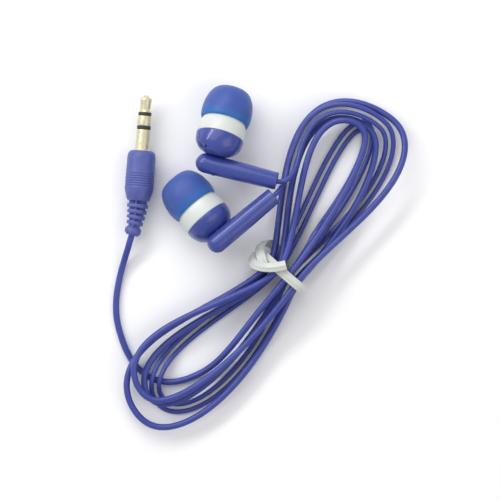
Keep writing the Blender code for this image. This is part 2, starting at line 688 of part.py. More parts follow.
def build_split(paint, cord_end, lead_starts):
    """The small moulding where the main cord becomes two leads, hidden in the hank."""
    start = Vector(cord_end)
    end = (Vector(lead_starts[0]) + Vector(lead_starts[1])) / 2
    axis = (end - start).normalized()
    start = start + axis * (GAP + 0.1)
    end = end - axis * (GAP + 0.3)
    across = (Vector(lead_starts[1]) - Vector(lead_starts[0])).normalized()
    across = (across - axis * across.dot(axis)).normalized()
    up = axis.cross(across)
    sizes = [(0.0, 0.85, 0.85), (0.15, 0.98, 0.98), (0.55, 1.1, 0.95), (0.9, 1.5, 0.8), (1.0, 1.45, 0.7)]
    rings = []
    for share, half_width, half_height in sizes:
        centre = start.lerp(end, share)
        ring = []
        for i in range(SMALL_ROUND):
            angle = math.tau * i / SMALL_ROUND
            ring.append(centre + across * half_width * math.cos(angle) + up * half_height * math.sin(angle))
        rings.append(ring)
    lofted("y_split", rings, paint["overmould"])


# ---- twist tie ------------------------------------------------------------------------

# Along the hank, across it, height, then the way the strip's flat side faces.
TIE_ROUTE = [
    ((2.05, 0.96, 10.4), (0, 0, 1)), ((0.8, 1.9, 10.4), (0, 0, 1)), ((-0.3, 2.8, 10.35), (0, 0, 1)),
    ((-1.6, 4.3, 10.0), (0, 0.1, 1)), ((-2.5, 5.8, 9.1), (0, 0.4, 1)),
    ((-3.0, 7.2, 7.7), (-0.2, 0.8, 1)), ((-2.6, 8.5, 6.2), (-0.2, 1, 0.7)),
    ((-1.4, 9.0, 5.1), (0.2, 1, 0.3)), ((-0.1, 8.3, 4.9), (0.1, 0.7, 0.6)),
    ((0.2, 6.9, 5.7), (0, 0.5, 1)), ((0.2, 5.4, 7.1), (0, 0.4, 1)), ((0.15, 3.6, 8.4), (0, 0.2, 1)),
    ((0.05, 1.0, 8.95), (0, 0, 1)), ((0.0, -1.6, 8.95), (0, 0, 1)), ((0.0, -4.2, 8.9), (0, -0.15, 1)),
    ((0.0, -6.0, 8.1), (0, -0.8, 0.7)), ((0.0, -6.6, 6.0), (0, -1, 0)), ((0.0, -6.6, 3.0), (0, -1, 0)),
    ((0.1, -5.4, 1.2), (0, -0.7, -1)), ((0.4, -3.0, 0.55), (0, 0, -1)), ((1.2, 0.0, 0.55), (0, 0, -1)),
    ((2.4, 2.8, 0.55), (0, 0, -1)), ((3.6, 4.8, 0.6), (0, 0, -1)), ((3.95, 6.5, 1.1), (0, 0.2, -1)),
    ((3.4, 8.1, 2.3), (0.4, 0.8, -0.4)), ((2.7, 8.9, 3.8), (0.6, 1, 0.3)),
    ((1.4, 9.0, 5.4), (0.5, 0.8, 0.8)), ((0.4, 8.3, 6.8), (0.2, 0.4, 1)),
    ((-0.3, 7.2, 7.8), (0, 0.2, 1)), ((-0.9, 6.3, 8.3), (0, 0.1, 1)), ((-1.5, 5.3, 8.6), (0, 0, 1)),
]


def tie_frames():
    """Centre, width direction and thickness direction down the strip's line."""
    places = []
    faces = []
    for place, face in TIE_ROUTE:
        places.append(hank_point(*place))
        faces.append(np.array(hank_point(*face)) - np.array(hank_point(0, 0, 0)))
    places = np.array(places)
    faces = np.array(faces)
    along = np.r_[0.0, np.cumsum(np.linalg.norm(np.diff(places, axis=0), axis=1))]
    fine = smooth(places, 0.4, 0.7)
    at = np.linspace(0.0, along[-1], len(fine))
    picked = list(range(0, len(fine), 4))
    frames = []
    for i in picked:
        face = Vector([np.interp(at[i], along, faces[:, k]) for k in range(3)])
        heading = Vector(fine[min(i + 1, len(fine) - 1)] - fine[max(i - 1, 0)]).normalized()
        face = (face - heading * face.dot(heading)).normalized()
        frames.append((Vector(fine[i]), heading.cross(face), face))
    return frames


def build_tie(paint):
    """Twist tie: a plastic strip, thicker over the steel wire that runs inside it."""
    outline = [
        (-TIE_WIDTH / 2, -TIE_EDGE / 2), (-0.55, -TIE_EDGE / 2 - 0.05), (0.0, -TIE_THICKNESS / 2),
        (0.55, -TIE_EDGE / 2 - 0.05), (TIE_WIDTH / 2, -TIE_EDGE / 2), (TIE_WIDTH / 2, TIE_EDGE / 2),
        (0.55, TIE_EDGE / 2 + 0.05), (0.0, TIE_THICKNESS / 2), (-0.55, TIE_EDGE / 2 + 0.05),
        (-TIE_WIDTH / 2, TIE_EDGE / 2),
    ]
    sides = len(outline)
    frames = tie_frames()
    outer = [[c + w * x + f * y for x, y in outline] for c, w, f in frames]

    def circle(frame, radius):
        centre, width, face = frame
        ring = []
        for i in range(sides):
            angle = math.tau * (i / sides) + math.radians(198)
            ring.append(centre + width * radius * math.cos(angle) + face * radius * math.sin(angle))
        return ring

    inner = [circle(frame, TIE_BORE_RADIUS) for frame in frames]
    wire = [circle(frame, TIE_WIRE_RADIUS) for frame in frames]
    lofted("tie_sheath", outer + inner[::-1], paint["tie"], closed=True)
    lofted("tie_wire", wire, paint["steel"])


# ---- the whole object -----------------------------------------------------------------

def main():
    clear_scene()
    paint = make_materials()
    left_end = earbud("left_", 1, LEFT_RIM, LEFT_HEADING, LEFT_TILT, LEFT_STEM_HEADING, paint)
    right_end = earbud("right_", -1, RIGHT_RIM, RIGHT_HEADING, RIGHT_TILT, RIGHT_STEM_HEADING, paint)
    cord_end = build_main_cord(build_plug(paint), paint)
    left_start = build_lead("left_", PAIR_OFFSET, LEFT_LEAD_ROUTE, left_end, paint)
    right_start = build_lead("right_", -PAIR_OFFSET, RIGHT_LEAD_ROUTE, right_end, paint)
    build_split(paint, cord_end, (left_start, right_start))
    build_tie(paint)


main()
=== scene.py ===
"""The looks of the wired earphones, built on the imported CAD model.

Metres, in the CAD model's frame. Shapes below are given in millimetres, times MM.
"""
import json
import math

import bmesh
import bpy
import numpy as np
from mathutils import Matrix, Vector


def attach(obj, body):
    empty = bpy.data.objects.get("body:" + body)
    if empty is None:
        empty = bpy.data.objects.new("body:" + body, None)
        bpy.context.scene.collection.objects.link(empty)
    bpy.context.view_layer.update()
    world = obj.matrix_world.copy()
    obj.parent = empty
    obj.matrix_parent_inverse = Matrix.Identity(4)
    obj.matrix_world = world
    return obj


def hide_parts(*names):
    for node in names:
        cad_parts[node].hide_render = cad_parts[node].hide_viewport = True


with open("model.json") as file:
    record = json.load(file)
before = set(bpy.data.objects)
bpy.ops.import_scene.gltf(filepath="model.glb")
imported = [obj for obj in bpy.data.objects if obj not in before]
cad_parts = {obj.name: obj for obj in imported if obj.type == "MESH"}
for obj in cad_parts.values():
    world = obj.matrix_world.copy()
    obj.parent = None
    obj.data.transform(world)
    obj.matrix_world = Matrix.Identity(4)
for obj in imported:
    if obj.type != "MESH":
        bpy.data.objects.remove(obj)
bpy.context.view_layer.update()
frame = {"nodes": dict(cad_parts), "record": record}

MM = 0.001
BODY = "earphones"


# ---- camera -------------------------------------------------------------------------
# The photograph looks straight down through a long lens. VIEW_WIDTH is what it takes in
# at VIEW_HEIGHT above the surface, about the middle of the plug and the earbuds.

VIEW_CENTRE = (7.24, -20.26)
VIEW_WIDTH = 126.6
VIEW_HEIGHT = 4.0
CAMERA_HEIGHT = 1000.0
SENSOR_WIDTH = 36.0

camera_data = bpy.data.cameras.new("camera")
camera_data.sensor_width = SENSOR_WIDTH
camera_data.lens = SENSOR_WIDTH * (CAMERA_HEIGHT - VIEW_HEIGHT) / VIEW_WIDTH
camera = bpy.data.objects.new("camera", camera_data)
bpy.context.scene.collection.objects.link(camera)
camera.location = (VIEW_CENTRE[0] * MM, VIEW_CENTRE[1] * MM, CAMERA_HEIGHT * MM)
bpy.context.scene.camera = camera


# ---- materials ----------------------------------------------------------------------

RUB_SCALE = 2.3
RUB_RANGE = (0.82, 1.2)
SPECK_EDGE = 0.03
RAISED_EDGE = (0.52, 0.6)
EDGE_TONE_SHARE = 0.6
GRAIN_DEPTH = 0.00012


def linear(colour):
    """A linear colour from an sRGB one on a scale of 255. Values under 11 aren't used."""
    return [((c / 255 + 0.055) / 1.055) ** 2.4 for c in colour]


def node(tree, kind, **values):
    """A new shader node with these properties."""
    item = tree.nodes.new(kind)
    for name, value in values.items():
        setattr(item, name, value)
    return item


def noise(tree, place, scale, detail=3.0):
    """A noise texture in the piece's own space."""
    item = node(tree, "ShaderNodeTexNoise")
    item.inputs["Scale"].default_value = scale
    item.inputs["Detail"].default_value = detail
    tree.links.new(place.outputs["Object"], item.inputs["Vector"])
    return item


def spread(tree, source, low, high, from_low=0.3, from_high=0.7):
    """Stretches a value's range from_low to from_high over low to high."""
    item = node(tree, "ShaderNodeMapRange")
    item.inputs["From Min"].default_value = from_low
    item.inputs["From Max"].default_value = from_high
    item.inputs["To Min"].default_value = low
    item.inputs["To Max"].default_value = high
    tree.links.new(source, item.inputs["Value"])
    return item.outputs["Result"]


def mix(tree, factor, first, second):
    """A colour between two. Each is a colour or a socket."""
    item = node(tree, "ShaderNodeMix", data_type="RGBA")
    tree.links.new(factor, item.inputs["Factor"])
    for socket, value in ((item.inputs[6], first), (item.inputs[7], second)):
        if isinstance(value, bpy.types.NodeSocket):
            tree.links.new(value, socket)
        else:
            socket.default_value = (*value, 1.0)
    return item.outputs[2]


def material(name, colour, roughness, shade, mottle=600.0, grain=6000.0, bump=0.03,
             metallic=0.0, gradient=None, speck=None, edge_tone=None, **constants):
    """A procedural finish: mottled colour, uneven gloss and a fine surface grain.

    shade is how far the mottling goes either way. mottle and grain are noise scales.
    gradient is (colour, low, high): it blends in a second colour along the piece's axis, as painted
    light.
    speck is (colour, scale, threshold) for small marks. The last colour is blended in on raised
    edges, to lighten them.
    """
    result = bpy.data.materials.new(name)
    result.use_nodes = True
    tree = result.node_tree
    shader = tree.nodes["Principled BSDF"]
    place = node(tree, "ShaderNodeTexCoord")
    base = np.array(linear(colour))
    cloud = noise(tree, place, mottle)
    cloudy = spread(tree, cloud.outputs["Fac"], 0.0, 1.0)
    tone = mix(tree, cloudy, base * (1 - shade), base * (1 + shade))
    # Painted light: a second, lighter colour painted in along the axis, towards one end.
    if gradient:
        second, low, high = gradient
        height = node(tree, "ShaderNodeAttribute", attribute_name="height")
        along = spread(tree, height.outputs["Fac"], 0.0, 1.0, low, high)
        tone = mix(tree, along, tone, linear(second))
    if speck:
        second, scale, threshold = speck
        spots = noise(tree, place, scale, 1.0)
        where = spread(tree, spots.outputs["Fac"], 0.0, 1.0, threshold, threshold + SPECK_EDGE)
        tone = mix(tree, where, tone, linear(second))
    # Raised edges, where the surface is most pointed, are blended towards a lighter colour.
    if edge_tone:
        geometry = node(tree, "ShaderNodeNewGeometry")
        edge = spread(tree, geometry.outputs["Pointiness"], 0.0, EDGE_TONE_SHARE, *RAISED_EDGE)
        tone = mix(tree, edge, tone, linear(edge_tone))
    tree.links.new(tone, shader.inputs["Base Color"])
    rubbed = noise(tree, place, mottle * RUB_SCALE)
    gloss = spread(tree, rubbed.outputs["Fac"], *(roughness * share for share in RUB_RANGE))
    tree.links.new(gloss, shader.inputs["Roughness"])
    fine = noise(tree, place, grain, 4.0)
    relief = node(tree, "ShaderNodeBump")
    relief.inputs["Strength"].default_value = bump
    relief.inputs["Distance"].default_value = GRAIN_DEPTH
    tree.links.new(fine.outputs["Fac"], relief.inputs["Height"])
    tree.links.new(relief.outputs["Normal"], shader.inputs["Normal"])
    shader.inputs["Metallic"].default_value = metallic
    for socket, value in constants.items():
        shader.inputs[socket.replace("_", " ")].default_value = value
    return result


MATERIALS = {
    # The ear tips' thin rim is painted lighter and more cyan: painted light, for light shining
    # through the thin silicone.
    "silicone_blue": material(
        "silicone", (59, 84, 158), 0.46, 0.06, 260.0, 9000.0, 0.02,
        gradient=((39, 103, 177), 2.4, 0.1), Subsurface_Weight=0.2, Subsurface_Scale=0.001,
        Subsurface_Radius=(0.2, 0.5, 1.0), IOR=1.41, Sheen_Weight=0.06),
    "plastic_blue": material(
        "blue_plastic", (54, 68, 147), 0.36, 0.07, 300.0, 5200.0, 0.02,
        speck=((88, 101, 172), 1500.0, 0.75), IOR=1.5, Coat_Weight=0.6, Coat_Roughness=0.04,
        Specular_IOR_Level=0.35),
    "plastic_white": material(
        "white_plastic", (207, 212, 209), 0.34, 0.015, 240.0, 5000.0, 0.006,
        Subsurface_Weight=0.1, Subsurface_Scale=0.001, Subsurface_Radius=(1.0, 1.0, 0.9),
        IOR=1.5),
    "pvc_blue": material(
        "cord_jacket", (53, 65, 148), 0.38, 0.1, 420.0, 3800.0, 0.06,
        speck=((72, 86, 168), 1700.0, 0.73), IOR=1.5, Coat_Weight=0.12, Coat_Roughness=0.2),
    "overmould_blue": material(
        "plug_jacket", (79, 89, 158), 0.46, 0.08, 500.0, 4200.0, 0.1,
        speck=((100, 111, 178), 1900.0, 0.73), IOR=1.5),
    "jack_plating": material(
        "jack_metal", (216, 209, 178), 0.42, 0.035, 700.0, 7000.0, 0.015, metallic=0.75,
        speck=((112, 96, 76), 1100.0, 0.72), edge_tone=(226, 220, 194)),
    "insulator_black": material(
        "black_insulator", (46, 48, 48), 0.5, 0.12, 1200.0, 5000.0, 0.05),
    "inner_mould": material("inner_moulding", (206, 206, 198), 0.5, 0.05),
    "copper": material(
        "copper_wire", (206, 126, 84), 0.3, 0.12, 900.0, 8000.0, 0.1, metallic=1.0),
    "steel": material(
        "bright_steel", (176, 177, 180), 0.28, 0.08, 900.0, 8000.0, 0.08, metallic=1.0),
    "magnet_alloy": material(
        "magnet_alloy", (122, 122, 126), 0.35, 0.1, 700.0, 8000.0, 0.08, metallic=1.0),
    "driver_plastic": material("driver_plastic", (36, 36, 38), 0.5, 0.15),
    "film": material("diaphragm_film", (214, 200, 160), 0.22, 0.05, 700.0, 3000.0, 0.08),
    "board_green": material(
        "terminal_board", (44, 104, 62), 0.42, 0.12, 900.0, 4000.0, 0.05),
    "tie_plastic": material(
        "tie_plastic", (204, 208, 202), 0.38, 0.025, 420.0, 3600.0, 0.05,
        Subsurface_Weight=0.15, Subsurface_Scale=0.0008, Subsurface_Radius=(1.0, 1.0, 0.8),
        IOR=1.5),
}

for entry in frame["record"]["subparts"]:
    piece = frame["nodes"][entry["node"]]
    piece.data.materials.clear()
    piece.data.materials.append(MATERIALS[entry["material_slot"]])


# ---- making pieces ------------------------------------------------------------------

SHARP_ANGLE = 40.0
CORNER_SHARE = 0.45
ON_AXIS = 1e-6
BEVEL_STEPS = 6


def finish_piece(name, data, slot, replaced, body):
    """An object with its material, the nodes it takes the place of and its body."""
    item = bpy.data.objects.new(name, data)
    bpy.context.scene.collection.objects.link(item)
    data.materials.append(MATERIALS[slot])
    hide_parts(*replaced)
    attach(item, body)
    return item


def mesh_piece(name, shape, slot, matrix, replaced, body=BODY):
    """Puts a shape in its place. Its mesh keeps each point's height on the piece's axis, which
    places the ear tips' painted rim light.
    """
    bmesh.ops.recalc_face_normals(shape, faces=shape.faces)
    height = shape.verts.layers.float.new("height")
    for vertex in shape.verts:
        vertex[height] = vertex.co.z / MM
    shape.transform(matrix)
    data = bpy.data.meshes.new(name)
    shape.to_mesh(data)
    shape.free()
    data.shade_smooth()
    data.set_sharp_from_angle(angle=math.radians(SHARP_ANGLE))
    return finish_piece(name, data, slot, replaced, body)


def rounded(profile, size, steps=4):
    """Rounds a profile's inner corners. size is the length cut from each side of them."""
    points = [Vector(p) for p in profile]
    result = [points[0]]
    for before, corner, after in zip(points[:-2], points[1:-1], points[2:]):
        back = before - corner
        ahead = after - corner
        reach = min(size, back.length * CORNER_SHARE, ahead.length * CORNER_SHARE)
        start = corner + back.normalized() * reach
        end = corner + ahead.normalized() * reach
        for k in range(steps + 1):
            t = k / steps
            result.append(start * (1 - t) ** 2 + corner * 2 * t * (1 - t) + end * t ** 2)
    return [tuple(p) for p in result + [points[-1]]]


def curved(points, steps):
    """A smooth line through points. Each stretch between two of them has this many steps."""
    p = np.array([points[0], *points, points[-1]], float)
    p[0] = 2 * p[1] - p[2]
    p[-1] = 2 * p[-2] - p[-3]
    result = []
    for a, b, c, d in zip(p[:-3], p[1:-2], p[2:-1], p[3:]):
        for k in range(steps):
            t = k / steps
            result.append(0.5 * (2 * b + (c - a) * t + (2 * a - 5 * b + 4 * c - d) * t ** 2
                                 + (3 * b - a - 3 * c + d) * t ** 3))
    return [tuple(q) for q in result + [p[-2]]]


def add_turned(shape, profile, sides, turn=Matrix.Identity(4)):
    """Adds a solid of revolution about Z. profile is a closed line of (radius, height)."""
    rows = []
    for radius, height in profile:
        if radius < ON_AXIS:
            rows.append([shape.verts.new(turn @ Vector((0, 0, height * MM)))])
            continue
        ring = []
        for i in range(sides):
            angle = math.tau * i / sides
            flat = Vector((radius * math.cos(angle), radius * math.sin(angle), height)) * MM
            ring.append(shape.verts.new(turn @ flat))
        rows.append(ring)
    pairs = list(zip(rows[:-1], rows[1:]))
    if len(rows[0]) > 1 or len(rows[-1]) > 1:
        pairs.append((rows[-1], rows[0]))
    for low, high in pairs:
        for i in range(sides):
            j = (i + 1) % sides
            corners = list(dict.fromkeys((
                low[i % len(low)], low[j % len(low)], high[j % len(high)], high[i % len(high)])))
            if len(corners) > 2:
                shape.faces.new(corners)


def turned(name, profile, slot, matrix, replaced, sides, body=BODY):
    """A piece that is one solid of revolution."""
    shape = bmesh.new()
    add_turned(shape, profile, sides)
    return mesh_piece(name, shape, slot, matrix, replaced, body)


def add_loft(shape, rings):
    """Adds a solid through rings of points in millimetres, with flat ends."""
    rows = [[shape.verts.new(Vector(point) * MM) for point in ring] for ring in rings]
    for low, high in zip(rows[:-1], rows[1:]):
        for i in range(len(low)):
            j = (i + 1) % len(low)
            shape.faces.new((low[i], low[j], high[j], high[i]))
    shape.faces.new(rows[0])
    shape.faces.new(rows[-1])


def oval(centre, across, up, sides):
    """A ring of points round a centre. across and up are its half widths as vectors."""
    angles = [math.tau * i / sides for i in range(sides)]
    return [centre + across * math.cos(a) + up * math.sin(a) for a in angles]


def tube(name, line, radius, slot, replaced):
    """A round cord along a line, as one open spline."""
    data = bpy.data.curves.new(name, "CURVE")
    data.dimensions = "3D"
    data.bevel_depth = radius * MM
    data.bevel_resolution = BEVEL_STEPS
    data.use_fill_caps = True
    spline = data.splines.new("POLY")
    spline.points.add(len(line) - 1)
    for point, place in zip(spline.points, line):
        point.co = (*(Vector(place) * MM), 1.0)
    spline.use_smooth = True
    return finish_piece(name, data, slot, replaced, BODY)


# ---- cords: the CAD model's routes, with finer steps ---------------------------------

GAP = 0.3
CORD_RADIUS = 0.82
LEAD_RADIUS = 0.62
WAIST = (15.7, -26.2)
WAIST_HEADING = 50.0
LEAD_LAYER = 0.65
LOW_LAYER = 3.0
HIGH_LAYER = 5.35
WAIST_LIFT = 1.9
WAIST_LIFT_LENGTH = 12.0
PAIR_OFFSET = 0.95
ROUTE_STEP = 0.5
MAIN_ROUNDING = 2.2
LEAD_ROUNDING = 1.6
MAIN_STEP = 0.8
LEAD_STEP = 0.7
MAIN_RUN_IN = 1.2
LEAD_RUN_IN = 1.0
MAIN_STRAIGHT = 2.5
LEAD_STRAIGHT = 1.2
MAIN_PIN_REACH = 4.0
LEAD_PIN_REACH = 3.0
LOBE_POINTS = 72

# A strand's place at the waist tells less and less along its lobe, and fades sooner on the
# upper lobe's left side.
SLOT_FADE = 1.2
QUICK_SLOT_FADE = 2.5

BUD_BAND_REAR = -4.3
STEM_AXIS = -11.2
STEM_ASIDE = 2.0
STEM_BACK = -1.95
STEM_FRONT = 16.7
STEM_RADIUS = 2.5
SLANT_START = -5.0
SLANT = 0.054
# The rim's middle, the heading, the dip and the stem's heading.
LEFT_BUD = ((-6.43, -9.1, 6.92), 130.1, 10.0, 39.9)
RIGHT_BUD = ((0.77, 12.1, 7.34), 74.8, 17.0, -14.3)

PLUG_SHOULDER = (-20.1, 4.95, 3.7)
PLUG_HEADING = 85.5
GRIP_LENGTH = 12.7
RELIEF_END = -21.7
RELIEF_BEND = 12.0
RELIEF_PITCH = 1.46
RELIEF_RINGS = (2.7, 2.5, 2.33, 2.14)
SLOT_DEPTH = 0.5
CORE_DEPTH = 1.25
FIRST_SLOT = 0.87
RING_LENGTH = 1.0
CORE_TAPER = 0.125
GROOVES = 6
FIRST_GROOVE = -5.95
GROOVE_PITCH = 0.61
WEB_ROLL = -9.0
WEB_TOP = -12.5
WEB_HALF_HEIGHT = 2.62
WEB_HALF_THICKNESS = 0.27
WEB_TAPER = 0.085
SEAM_HALF_THICKNESS = 0.07

FREE_ROUTE = [
    (-24.2, -21.3, 1.9), (-25.8, -26.6, 0.85), (-26.9, -32.7, 0.85), (-26.8, -37.7, 0.85),
    (-25.7, -41.8, 0.85), (-24.3, -45.9, 0.85),
]
MIDDLE_ROUTE = [
    (-21.9, -49.9, 0.85), (-19.1, -52.4, 0.85), (-16.0, -53.7, 0.85), (-12.8, -54.1, 0.85),
    (-9.5, -53.4, 0.85), (-5.9, -51.9, 1.2), (-2.4, -49.9, 2.2), (0.7, -46.8, 3.4),
    (3.7, -43.3, 4.5), (7.7, -38.0, 5.4),
]
LEFT_LEAD_ROUTE = [
    (18.1, 5.6, 5.35), (17.2, 2.5, 5.3), (16.6, -0.5, 5.3), (16.1, -2.9, 6.0),
]
RIGHT_LEAD_ROUTE = [
    (19.9, 5.6, 5.35), (19.4, 2.5, 6.2), (18.6, 0.0, 7.8), (17.3, -2.4, 9.4),
]


def even(line, step):
    """The same line with points an even step apart."""
    along = np.r_[0.0, np.cumsum(np.linalg.norm(np.diff(line, axis=0), axis=1))]
    count = max(2, int(round(along[-1] / step)) + 1)
    at = np.linspace(0.0, along[-1], count)
    return np.stack([np.interp(at, along, line[:, k]) for k in range(3)], axis=1)


def smooth(line, step, reach):
    """Rounds a line's corners with a bell-shaped average along it."""
    line = even(line, step)
    half = int(round(3 * reach / step))
    weights = np.exp(-0.5 * (np.arange(-half, half + 1) * step / reach) ** 2)
    weights /= weights.sum()
    before = line[0] - np.outer(np.arange(half, 0, -1), line[1] - line[0])
    after = line[-1] + np.outer(np.arange(1, half + 1), line[-1] - line[-2])
    padded = np.vstack([before, line, after])
    return np.stack([np.convolve(padded[:, k], weights, "valid") for k in range(3)], axis=1)


def pinned(line, place, reach):
    """Moves a line's last point to place, and less and less of the line before it."""
    back = np.r_[0.0, np.cumsum(np.linalg.norm(np.diff(line[::-1], axis=0), axis=1))][::-1]
    return line + np.exp(-(back / reach) ** 2)[:, None] * (place - line[-1])


def hank_point(along, across, height):
    """A point in the hank: along its length from the waist, and to the left of it."""
    heading = math.radians(WAIST_HEADING)
    x = WAIST[0] + along * math.cos(heading) - across * math.sin(heading)
    y = WAIST[1] + along * math.sin(heading) + across * math.cos(heading)
    return [x, y, height]


def lobe(end, reach, lean, left, right, slots, heights, start_side):
    """One half loop of the hank, a teardrop that leaves the waist and comes back.

    end is 1 for the upper lobe and -1 for the lower one. left and right are (bulge, power)
    of its two sides. slots are how far to the left of the waist's middle it leaves and comes
    back. start_side is the side it leaves on, 1 for the left one.
    """
    turn = math.tau * (np.arange(LOBE_POINTS) + 0.5) / LOBE_POINTS
    out = (1 - np.cos(turn)) / 2
    side = np.where(turn < math.pi, start_side, -start_side)

    def bulge(size, power):
        shape = np.abs(np.sin(turn)) * np.sin(turn / 2) ** power
        return size * shape / shape.max()

    fade = np.where((side > 0) & (end > 0), QUICK_SLOT_FADE, SLOT_FADE)
    slot = np.where(turn < math.pi, slots[0], slots[1]) * (1 - out) ** fade
    across = np.where(side > 0, bulge(*left), -bulge(*right)) + slot + lean * out
    along = end * reach * out
    height = np.interp(turn / math.tau, np.linspace(0, 1, len(heights)), heights)
    height = height + WAIST_LIFT * np.exp(-(along / WAIST_LIFT_LENGTH) ** 2)
    return np.array([hank_point(*place) for place in zip(along, across, height)])


def beside(line, offset):
    """The same lobe shifted sideways, outwards where offset is positive."""
    heading = np.gradient(line[:, :2], axis=0)
    outward = np.stack([-heading[:, 1], heading[:, 0]], axis=1)
    outward /= np.linalg.norm(outward, axis=1)[:, None]
    if np.sum(outward * (line[:, :2] - line[:, :2].mean(axis=0))) < 0:
        outward = -outward
    result = line.copy()
    result[:, :2] += offset * outward
    return result


def main_line(exit_point, exit_direction):
    """The main cord's whole line, from the plug to the split."""
    high = HIGH_LAYER
    low = LOW_LAYER
    parts = [
        np.array([exit_point, exit_point + exit_direction * MAIN_STRAIGHT]),
        np.array(FREE_ROUTE + MIDDLE_ROUTE),
        lobe(1, 41.5, 8.0, (9.6, 2.2), (3.2, 1), (-1.35, 1.35), (high, high), -1),
        lobe(-1, 46.5, 6.0, (10.5, 2.2), (5.6, 1), (1.35, -4.05), (high, high), 1),
        lobe(1, 47.8, 2.8, (18.4, 1.4), (7.6, 2), (-4.05, 4.05),
             (high, high, high, low, 1.1, 0.95, low), -1),
        lobe(-1, 51.6, 2.7, (12.3, 2.2), (9.0, 1), (4.05, -4.05), (low, low), 1),
        lobe(1, 42.4, 6.4, (12.7, 1.5), (5.4, 1), (-4.05, 1.35), (low, low), -1),
        lobe(-1, 46.4, 4.5, (8.0, 2.2), (6.2, 1), (1.35, -1.35), (low, low), 1),
        np.array([hank_point(2.0, -1.35, low + WAIST_LIFT), hank_point(4.0, -1.3, low + 1.1)]),
    ]
    line = smooth(np.vstack(parts), ROUTE_STEP, MAIN_ROUNDING)
    return pinned(line[::-1], exit_point, MAIN_PIN_REACH)[::-1]


def lead_line(offset, route, exit_point, exit_direction):
    """One lead's line, from the split round the hank to its stem.

    It lies on the floor. A hump in the second lobe takes it over the main cord, and in the
    third one it climbs to the top.
    """
    floor = LEAD_LAYER
    top = HIGH_LAYER
    start = np.array([
        hank_point(13.5, -0.4 - offset, LOW_LAYER), hank_point(17.0, -0.1 - 1.1 * offset, 2.1),
    ])
    first = lobe(1, 42.5, 8.0, (3.6, 2), (4.0, 1), (0.0, 2.4), (floor, floor), -1)
    second = lobe(-1, 45.2, 2.2, (6.8, 2.2), (7.6, 1), (2.4, -2.4),
                  (floor,) * 14 + (1.6, 3.1, 3.4, 2.8, 1.1) + (floor,) * 22, 1)
    third = lobe(1, 45.1, 4.6, (16.1, 1.4), (6.2, 1.5), (-2.4, 4.05),
                 (floor, floor, floor, floor, 2.4, top, top, top, top, top), -1)
    ends = np.array([exit_point + exit_direction * LEAD_STRAIGHT, exit_point])
    line = smooth(np.vstack([
        start, beside(first, offset)[14:], beside(second, offset),
        beside(third, offset)[:49], np.array(route), ends,
    ]), ROUTE_STEP, LEAD_ROUNDING)
    return pinned(line, exit_point, LEAD_PIN_REACH)


def bud_frame(rim, heading, tilt, stem_heading):
    """An earbud's frame: Z towards the ear, X along the stem to the lead."""
    turn = math.radians(heading)
    dip = math.radians(tilt)
    axis = Vector((math.cos(turn) * math.cos(dip), math.sin(turn) * math.cos(dip), -math.sin(dip)))
    turn = math.radians(stem_heading)
    level = Vector((math.cos(turn), math.sin(turn), 0.0))
    stem = (level - Vector((0, 0, 1)) * (level.dot(axis) / axis.z)).normalized()
    side = axis.cross(stem)
    result = Matrix((stem, side, axis)).transposed().to_4x4()
    result.translation = Vector(rim) * MM
    return result


def plug_frame():
    """The plug's frame: Z towards the jack's tip, Y up."""
    turn = math.radians(PLUG_HEADING)
    axis = Vector((math.cos(turn), math.sin(turn), 0.0))
    side = Vector((0, 0, 1)).cross(axis)
    result = Matrix((side, axis.cross(side), axis)).transposed().to_4x4()
    result.translation = Vector(PLUG_SHOULDER) * MM
    return result


def relief_axis(height):
    """Centre and bend of the strain relief at a height below the shoulder."""
    length = max(0.0, -GRIP_LENGTH - height)
    whole = -GRIP_LENGTH - RELIEF_END
    bend = math.radians(RELIEF_BEND) * length / whole
    shift = length * math.sin(bend / 2)
    drop = length * math.cos(bend / 2)
    return Vector((shift, 0, max(height, -GRIP_LENGTH) - drop)), bend


def relief_exit():
    """Where the main cord leaves the strain relief, and its direction there."""
    centre, bend = relief_axis(RELIEF_END)
    direction = Matrix.Rotation(-bend, 3, "Y") @ Vector((0, 0, -1))
    point = plug_frame() @ ((centre + direction * GAP) * MM) / MM
    return np.array(point), np.array(plug_frame().to_3x3() @ direction)


def stem_exit(bud, side):
    """Where a lead leaves its stem, and its direction there."""
    matrix = bud_frame(*bud)
    point = matrix @ (Vector((STEM_FRONT + GAP, -STEM_ASIDE * side, STEM_AXIS)) * MM) / MM
    return np.array(point), np.array(matrix.col[0][:3])


def longer(line, amount):
    """Runs a line's last point on into the piece that it enters."""
    ahead = line[-1] - line[-3]
    return np.vstack([line, line[-1] + ahead / np.linalg.norm(ahead) * amount])


plug_exit, plug_direction = relief_exit()
main_route = main_line(plug_exit, plug_direction)[::-1]
left_exit, left_direction = stem_exit(LEFT_BUD, 1)
right_exit, right_direction = stem_exit(RIGHT_BUD, -1)
left_route = lead_line(PAIR_OFFSET, LEFT_LEAD_ROUTE, left_exit, left_direction)
right_route = lead_line(-PAIR_OFFSET, RIGHT_LEAD_ROUTE, right_exit, right_direction)

main_cord = tube("main_cord", even(longer(main_route, MAIN_RUN_IN), MAIN_STEP), CORD_RADIUS,
                 "pvc_blue", ("main_cord_free", "main_cord_hank"))
left_lead = tube("left_lead", even(longer(left_route, LEAD_RUN_IN), LEAD_STEP)[::-1],
                 LEAD_RADIUS, "pvc_blue", ("left_lead_free", "left_lead_hank"))
right_lead = tube("right_lead", even(longer(right_route, LEAD_RUN_IN), LEAD_STEP)[::-1],
                  LEAD_RADIUS, "pvc_blue", ("right_lead_free", "right_lead_hank"))


# ---- the split ----------------------------------------------------------------------

